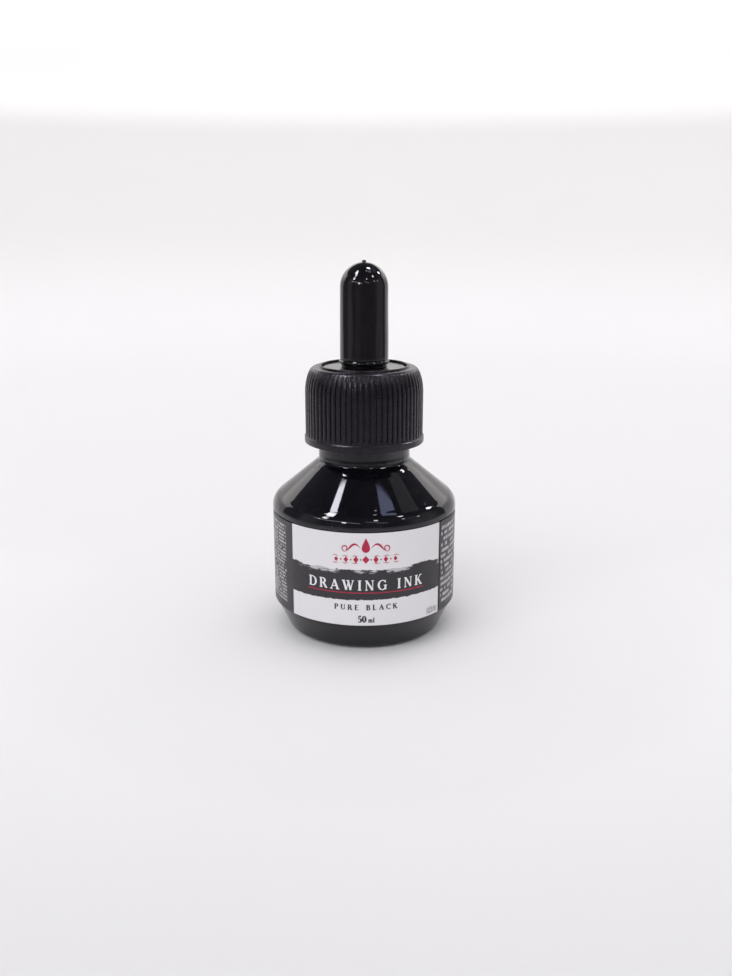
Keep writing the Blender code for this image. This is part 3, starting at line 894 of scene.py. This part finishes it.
def make_cap():
    bore = [
        (CAP_FLANGE, CAP_BOTTOM + 1.0),
        (CAP_FLANGE, CAP_BOTTOM, 0.3),
        (CAP_BORE + 0.8, CAP_BOTTOM, 0.15),
        (CAP_BORE, CAP_BOTTOM + 0.8, 0.2),
        (CAP_BORE, CAP_LIP, 0.3),
        (CAP_OPENING, CAP_LIP, 0.12),
        (CAP_OPENING, CAP_TOP, 0.2),
        (CAP_RIM, CAP_TOP, 0.2),
        (CAP_RIM, CAP_SHELF, 0.12),
        (CAP_SHELF_RADIUS, CAP_SHELF, 0.9),
    ]
    crown = arc(*CAP_CROWN, CAP_CROWN_END, 0.0, 22)
    side = [
        crown[-1],
        (CAP_RADIUS, CAP_FLANGE_TOP + 0.25, 0.1),
        (CAP_FLANGE, CAP_FLANGE_TOP, 0.12),
        (CAP_FLANGE, CAP_BOTTOM + 1.0),
    ]
    low = THREAD_START - PITCH / 2.0 - THREAD_HALF_WIDTH
    high = low + PITCH * THREAD_TURNS + 2.0 * THREAD_HALF_WIDTH
    inner = dense(outline(bore + crown[:1])[:-1], 0.28, low, high)
    inner = dense(inner, 0.9)
    ribbed = dense(crown + outline(side)[1:], 0.8)
    points = inner + ribbed[:-1]
    ribs_from = len(inner)

    def shift(r, z, a, index):
        phase = (a / TURN * RIBS) % 1.0
        groove = smooth((0.225 - np.abs(phase - 0.5)) / 0.10)
        domed = 0.04 * (1.0 - np.cos(np.minimum(phase, 1.0 - phase) * TURN))
        fade = np.clip((RIB_FADE[1] - z) / (RIB_FADE[1] - RIB_FADE[0]), 0.0, 1.0)
        fade = fade * smooth((z - CAP_FLANGE_TOP - 0.30) / 0.35) * (index >= ribs_from)
        ridge = (CAP_BORE - NECK_CREST - 0.15) * thread(z, a, THREAD_START - PITCH / 2.0)
        ridge = ridge * (np.abs(r - CAP_BORE) < 0.01) * (index < ribs_from)
        return r - (groove * RIB_DEPTH + domed) * fade - ridge, z

    shares = [0.0, 0.10, 0.19, 0.26, 0.30, 0.34, 0.39, 0.5, 0.61, 0.66, 0.70, 0.74, 0.81, 0.90]
    angles = np.array([(rib + share) / RIBS * TURN for rib in range(RIBS) for share in shares])
    cap = turned("cap_shell", points, angles, cap_material(), closed=True, shift=shift, sharp=38.0)
    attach(cap, "cap")
    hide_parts("screw_cap")


# ---------------------------------------------------------------- the dropper


def make_insert():
    socket = GLASS_RADIUS + 0.05
    corners = [
        (SPIGOT_BORE, SPIGOT_TOP, 0.1),
        (SPIGOT_RADIUS, SPIGOT_TOP, 0.5),
        (SPIGOT_RADIUS, DISC, 0.02),
        (DISC_RADIUS, DISC, 0.4),
        (DISC_RADIUS, FLANGE_TOP, 0.1),
        (FLANGE_RADIUS, FLANGE_TOP, 0.1),
        (FLANGE_RADIUS, FLANGE_BOTTOM, 0.1),
        (STEM_RADIUS, FLANGE_BOTTOM, 0.04),
        (STEM_RADIUS, STEM_BOTTOM, 0.5),
        (socket, STEM_BOTTOM, 0.15),
        (socket, SOCKET_TOP),
        (SPIGOT_BORE, SOCKET_TOP),
    ]
    middle = (SPIGOT_BORE, 68.0)
    points = dense(outline([middle] + corners + [middle])[:-1], 0.7, closed=True)
    piece = turned("insert_disc", points, around(160), insert_material(), closed=True)
    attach(piece, "dropper")
    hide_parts("dropper_insert")


def make_washer():
    low, high = bottom("sealing_washer"), top("sealing_washer")
    middle = (low + high) / 2.0
    corners = [
        (WASHER_HOLE, middle),
        (WASHER_HOLE, high, 0.12),
        (WASHER_RADIUS, high, 0.2),
        (WASHER_RADIUS, low, 0.2),
        (WASHER_HOLE, low, 0.12),
        (WASHER_HOLE, middle),
    ]
    points = dense(outline(corners)[:-1], 0.3, closed=True)

    def shift(r, z, a, index):
        # the rim's ring pressed into the foam's underside
        print_ring = np.exp(-(((r - 10.4) / 0.7) ** 2)) * (z < middle)
        wobble = 0.03 * np.sin(5.0 * a + 1.0) + 0.02 * np.sin(11.0 * a)
        return r - np.abs(wobble) * (r > 8.0), z + 0.10 * print_ring

    piece = turned("washer_ring", points, around(144), foam_material(), closed=True, shift=shift)
    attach(piece, "seal")
    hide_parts("sealing_washer")


def make_pipette():
    waist = GLASS_TIP + 4.5
    corners = [
        (GLASS_RADIUS - GLASS_WALL / 2.0, GLASS_TOP),
        (GLASS_RADIUS, GLASS_TOP, 0.3),
        (GLASS_RADIUS, GLASS_TAPER, 12.0),
        (TIP_RADIUS + 0.45, waist, 6.0),
        (TIP_RADIUS, GLASS_TIP, 0.25),
        (TIP_BORE, GLASS_TIP, 0.12),
        (TIP_BORE + 0.15, waist, 8.0),
        (GLASS_RADIUS - GLASS_WALL, GLASS_TAPER, 9.0),
        (GLASS_RADIUS - GLASS_WALL, GLASS_TOP, 0.2),
        (GLASS_RADIUS - GLASS_WALL / 2.0, GLASS_TOP),
    ]
    points = dense(outline(corners)[:-1], 1.2, closed=True)
    piece = turned("glass_tube", points, around(72), glass_material(), closed=True, sharp=60.0)
    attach(piece, "dropper")
    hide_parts("pipette")


def make_bulb():
    foot_height = BULB_LIP_HEIGHT + 2.0 * BULB_LIP_BEAD
    lip_centre = (BULB_LIP - BULB_LIP_BEAD, BULB_LIP_HEIGHT)
    lip = arc(lip_centre, (BULB_LIP_BEAD, BULB_LIP_BEAD), 62.0, -62.0, 12)
    dome_centre = (0.0, BULB_DOME)
    dome = arc(dome_centre, (BULB_RADIUS, BULB_DOME_HEIGHT), 83.0, 0.0, 32)
    chamber = (BULB_RADIUS - BULB_WALL, BULB_DOME_HEIGHT - BULB_WALL)
    inner_dome = arc(dome_centre, chamber, 0.0, 80.0, 12)
    nib = [
        (0.0, BULB_TOP),
        (0.22, BULB_TOP - 0.02),
        (0.40, BULB_TOP - 0.10),
        (0.50, BULB_TOP - 0.25),
        (0.52, BULB_TOP - 0.40),
        (0.60, BULB_TOP - 0.47),
    ]
    grip = SPIGOT_RADIUS + 0.07
    corners = [
        (BULB_FOOT, foot_height + 6.0),
        (BULB_FOOT, foot_height, 1.2),
        *lip,
        (BULB_COLLAR, BULB_COLLAR_TOP, 0.12),
        (BULB_COLLAR, BULB_BOTTOM, 0.10),
        (grip, BULB_BOTTOM, 0.10),
        (grip, SPIGOT_TOP + 0.4, 0.6),
        (chamber[0], SPIGOT_TOP + 2.0, 1.0),
        inner_dome[0],
    ]
    points = nib + dome + outline(corners)[1:-1] + inner_dome + [(0.0, BULB_DOME + chamber[1])]
    points = dense(points, 0.9)

    def shift(r, z, a, index):
        outer = (r > grip + 0.6) & (index < len(points) // 2 + 12)
        sag = 0.018 * np.sin(2.0 * a + z * 0.21) + 0.012 * np.sin(3.0 * a - z * 0.34)
        tall = smooth((z - BULB_LIP_HEIGHT - 2.0) / 3.0) * smooth((BULB_DOME + 5.0 - z) / 4.0)
        lip_wave = 0.03 * np.sin(4.0 * a + 0.6) * smooth(1.0 - np.abs(z - BULB_LIP_HEIGHT) / 0.9)
        return r + outer * (sag * tall - np.abs(lip_wave)), z

    piece = turned("bulb_skin", points, around(144), rubber_material(), shift=shift, sharp=50.0)
    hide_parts("dropper_bulb")
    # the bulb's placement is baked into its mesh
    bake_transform(piece)


# ---------------------------------------------------------------- studio


def direction(azimuth, elevation):
    """Azimuth 0 is the camera's side and 90 is +X."""
    a, e = math.radians(azimuth), math.radians(elevation)
    return Vector((math.sin(a) * math.cos(e), -math.cos(a) * math.cos(e), math.sin(e)))


# the studio's sizes are in metres
AIM = Vector((0.0, 0.0, 0.065))
SWEEP_FLAT = 0.55
SWEEP_RADIUS = 0.95
SWEEP_TOP = 0.62
WALL_TOP = 1.6
# the card's half angle in degrees, its gap to the sweep in metres, and its flat part in mm
CARD_EDGE = 116.0
CARD_GAP = 0.02
CARD_FLAT = ((85, 1.0), (120, 1.5), (160, 2.0), (200, 2.5), (250, 3.0), (300, 4.0), (380, 6.0), (460, 9.0))
# how far from the bottle the lamps stand; the near two distances lie inside the sweep
FAR, NEAR, NEAREST = 1.5, 0.86, 0.82


def panel_light(name, place, size, radiance, distance=FAR, color=(1.0, 1.0, 1.0), glossy=True, diffuse=True):
    """A soft panel aimed at the bottle; size is in degrees as the bottle sees it."""
    data = bpy.data.lights.new(name, "AREA")
    data.shape = "RECTANGLE"
    data.size = 2.0 * distance * math.tan(math.radians(size[0] / 2.0))
    data.size_y = 2.0 * distance * math.tan(math.radians(size[1] / 2.0))
    data.energy = radiance * math.pi * data.size * data.size_y
    data.color = color
    light = bpy.data.objects.new(name, data)
    light.location = AIM + direction(*place) * distance
    light.rotation_mode = "QUATERNION"
    light.rotation_quaternion = (light.location - AIM).to_track_quat("Z", "Y")
    light.visible_camera = False
    light.visible_glossy = glossy
    light.visible_diffuse = diffuse
    bpy.context.scene.collection.objects.link(light)
    return light


def bar_light(name, start, end, width, radiance, distance=FAR, color=(1.0, 1.0, 1.0)):
    """A narrow panel that stretches between two directions and is only seen reflected."""
    one, two = direction(*start), direction(*end)
    length = math.degrees(one.angle(two))
    light = panel_light(name, start, (width, length), radiance, distance, color, diffuse=False)
    out = (one + two).normalized()
    along = (two - one).normalized()
    light.location = AIM + out * distance
    across = along.cross(out).normalized()
    turn = Matrix((across, along, out)).transposed()
    light.rotation_quaternion = turn.to_quaternion()
    return light


def make_sweep():
    """A pale floor that curves up into a round backdrop, with painted shade on the floor in front and a
    painted glow on the backdrop, brighter high up behind.
    """
    bend = SWEEP_RADIUS - SWEEP_FLAT
    profile = [(0.0, 0.0)] + [(SWEEP_FLAT * t, 0.0) for t in np.linspace(0.05, 1.0, 24)]
    for a in np.radians(np.linspace(3.0, 90.0, 40)):
        profile.append((SWEEP_FLAT + bend * math.sin(a), bend * (1.0 - math.cos(a))))
    profile.append((SWEEP_RADIUS, SWEEP_TOP))
    profile = [(r / MM, z / MM) for r, z in profile]
    s = Shader("pale_sweep", Roughness=0.75, Metallic=0.0)
    height = s.times(s.z, 0.001)
    behind = s.remap(s.math("ABSOLUTE", s.azimuth), math.radians(112.0), math.radians(120.0))
    mottled = s.noise(0.004, 2.0)
    pale = s.mix(mottled, (0.805, 0.798, 0.808), (0.830, 0.822, 0.832))
    # painted shade: the floor's colour is darker towards the camera, in front of the bottle
    pale = s.mix(s.remap(s.y, -240.0, -30.0, 0.95, 0.0), pale, (0.62, 0.614, 0.630))
    color = s.mix(s.remap(height, 0.0, 0.10, 0.0, 0.42), pale, (0.645, 0.634, 0.615))
    # painted light: the backdrop glows faintly from 0.185 m up and strongly high up behind the bottle, as
    # though lit there
    middle = s.remap(height, 0.185, 0.220, 0.0, 0.17)
    high = s.times(s.remap(height, 0.265, 0.39, 0.0, 0.95), behind)
    painted_backdrop_glow = s.plus(middle, high)
    s.use(Base_Color=color, Emission_Color=(1.0, 0.985, 0.95), Emission_Strength=painted_backdrop_glow)
    s.use(Normal=s.bump(s.noise(0.05, 2.0), 0.02, 0.001))
    floor = turned("sweep", profile[::-1], around(160), s.material)
    floor.location = (0.0, 0.0, -0.00002)
    # more wall above, which only the camera and the glass see, with the same painted glow
    edge = SWEEP_RADIUS / MM
    ends = [(edge, WALL_TOP / MM), (edge, SWEEP_TOP / MM)]
    wall = turned("sweep_top", ends, around(160), s.material)
    wall.visible_diffuse = False
    wall.visible_glossy = False
    wall.visible_shadow = False


def make_card():
    """A dim card before the sweep's front half that only reflections see, like a dark room."""
    s = Shader("dim_card", Roughness=1.0, Metallic=0.0)
    degrees = s.times(s.azimuth, 180.0 / math.pi)
    left = s.times(s.within(degrees, -84.0, -58.0, 7.0), 0.28)
    right = s.times(s.within(degrees, 58.0, 98.0, 8.0), 0.26)
    near = s.times(s.within(degrees, -44.0, -20.0, 7.0), 0.09)
    room = s.plus(s.plus(left, right), s.plus(near, 0.12))
    table = s.remap(s.math("ABSOLUTE", degrees), 35.0, 100.0, 0.33, 0.62)
    shade = s.remap(s.math("ABSOLUTE", degrees), 30.0, 85.0, 0.58, 0.85)
    shade = s.mix(s.remap(s.radius, 85.0, 125.0), (0.85, 0.85, 0.85), shade)
    table = s.mix(s.remap(s.radius, 190.0, 250.0), shade, table)
    level = s.mix(s.remap(s.radius, 300.0, 400.0), table, room)
    level = s.times(level, s.remap(s.noise(0.008, 2.0), 0.2, 0.8, 0.75, 1.25))
    s.use(Base_Color=s.mix(level, (0.01, 0.01, 0.01), (0.02, 0.02, 0.02)))
    s.use(Emission_Color=(0.96, 0.96, 1.0), Emission_Strength=level)
    bend = SWEEP_RADIUS - SWEEP_FLAT - CARD_GAP
    profile = [(r * MM, z * MM) for r, z in CARD_FLAT] + [(SWEEP_FLAT, CARD_GAP)]
    for a in np.radians(np.linspace(10.0, 90.0, 9)):
        profile.append((SWEEP_FLAT + bend * math.sin(a), CARD_GAP + bend * (1.0 - math.cos(a))))
    profile.append((SWEEP_RADIUS - CARD_GAP, SWEEP_TOP))
    points, faces = [], []
    steps, rows = 72, len(profile)
    for i in range(steps + 1):
        azimuth = math.radians(CARD_EDGE * (2.0 * i / steps - 1.0))
        points += [(r * math.sin(azimuth), -r * math.cos(azimuth), z) for r, z in profile]
    for i in range(steps):
        for k in range(rows - 1):
            a, b = rows * i + k, rows * (i + 1) + k
            faces.append((a, b, b + 1, a + 1))
    card = new_piece("dim_card", points, faces, s.material)
    card.visible_camera = False
    card.visible_diffuse = False
    card.visible_shadow = False
    card.visible_transmission = False


def make_world():
    """Dim above the sweep, and dimmer overhead."""
    world = bpy.data.worlds.new("studio")
    world.use_nodes = True
    tree = world.node_tree
    background = tree.nodes["Background"]
    background.inputs["Color"].default_value = (0.88, 0.90, 1.0, 1.0)
    place = tree.nodes.new("ShaderNodeTexCoord")
    parts = tree.nodes.new("ShaderNodeSeparateXYZ")
    level = tree.nodes.new("ShaderNodeMapRange")
    for socket, value in zip(level.inputs[1:5], (0.55, 0.97, 0.17, 0.07)):
        socket.default_value = value
    tree.links.new(place.outputs["Generated"], parts.inputs[0])
    tree.links.new(parts.outputs["Z"], level.inputs[0])
    tree.links.new(level.outputs[0], background.inputs["Strength"])
    bpy.context.scene.world = world


WARM, COOL, SKY = (1.0, 0.99, 1.0), (0.90, 0.93, 1.0), (0.56, 0.66, 1.0)
# each lamp's azimuth, elevation, size in degrees and radiance
SPOTS = (
    (-75.0, 61.0, 7.0, 20.0),
    (129.0, 73.0, 8.0, 28.0),
    (-56.0, 36.0, 6.0, 20.0),
    (-24.0, 21.0, 6.0, 20.0),
    (17.0, 40.0, 5.0, 18.0),
    (57.0, 46.0, 7.0, 22.0),
    (53.0, 28.0, 4.0, 9.0),
    (73.0, 26.0, 3.0, 9.0),
    (116.0, 39.0, 6.0, 30.0),
    (-60.0, 25.0, 3.0, 7.0),
    (46.0, 78.0, 2.5, 10.0),
)


def make_lights():
    panel_light("overhead", (0.0, 88.0), (76.0, 76.0), 1.34, distance=1.2, color=WARM, glossy=False)
    panel_light("front_fill", (-34.0, 37.0), (50.0, 24.0), 3.35, distance=1.7, glossy=False)
    bar_light("tube", (-93.9, 68.5), (-57.0, 49.0), 5.9, 18.0, color=COOL)
    bar_light("tube_end", (-58.0, 47.0), (-58.0, 36.0), 5.0, 9.0, color=COOL)
    bar_light("far_tubes", (-66.0, 24.0), (-6.0, 20.5), 2.0, 5.0, distance=NEAREST)
    bar_light("far_tubes_right", (2.0, 30.0), (30.0, 20.5), 1.6, 4.0, distance=NEAREST)
    bar_light("sky_patch", (84.6, 72.9), (58.2, 65.4), 11.3, 2.6, color=SKY)
    window = (0.92, 1.0, 0.94)
    panel_light("side_window", (112.0, 57.0), (20.0, 14.0), 0.30, color=window, diffuse=False)
    for number, (azimuth, elevation, size, radiance) in enumerate(SPOTS):
        # a low lamp stands inside the sweep, so that its wall doesn't hide the lamp
        distance = FAR if elevation > 34.0 else NEAR
        name = "ceiling_%d" % number
        panel_light(name, (azimuth, elevation), (size, size), radiance, distance, diffuse=False)


CAMERA_PLACE = (0.00045, -0.23492, 0.10102)
CAMERA_PITCH = 74.317
CAMERA_LENS = 35.68


def make_camera():
    data = bpy.data.cameras.new("camera")
    data.sensor_fit = "AUTO"
    data.sensor_width = 36.0
    data.lens = CAMERA_LENS
    data.clip_start = 0.01
    camera = bpy.data.objects.new("camera", data)
    camera.location = CAMERA_PLACE
    camera.rotation_euler = (math.radians(CAMERA_PITCH), 0.0, 0.0)
    bpy.context.scene.collection.objects.link(camera)
    bpy.context.scene.camera = camera
    bpy.context.scene.view_settings.view_transform = "Standard"


make_camera()
make_world()
make_sweep()
make_card()
make_lights()
make_bottle()
make_label()
make_print()
make_cap()
make_insert()
make_washer()
make_pipette()
make_bulb()

bpy.context.view_layer.update()
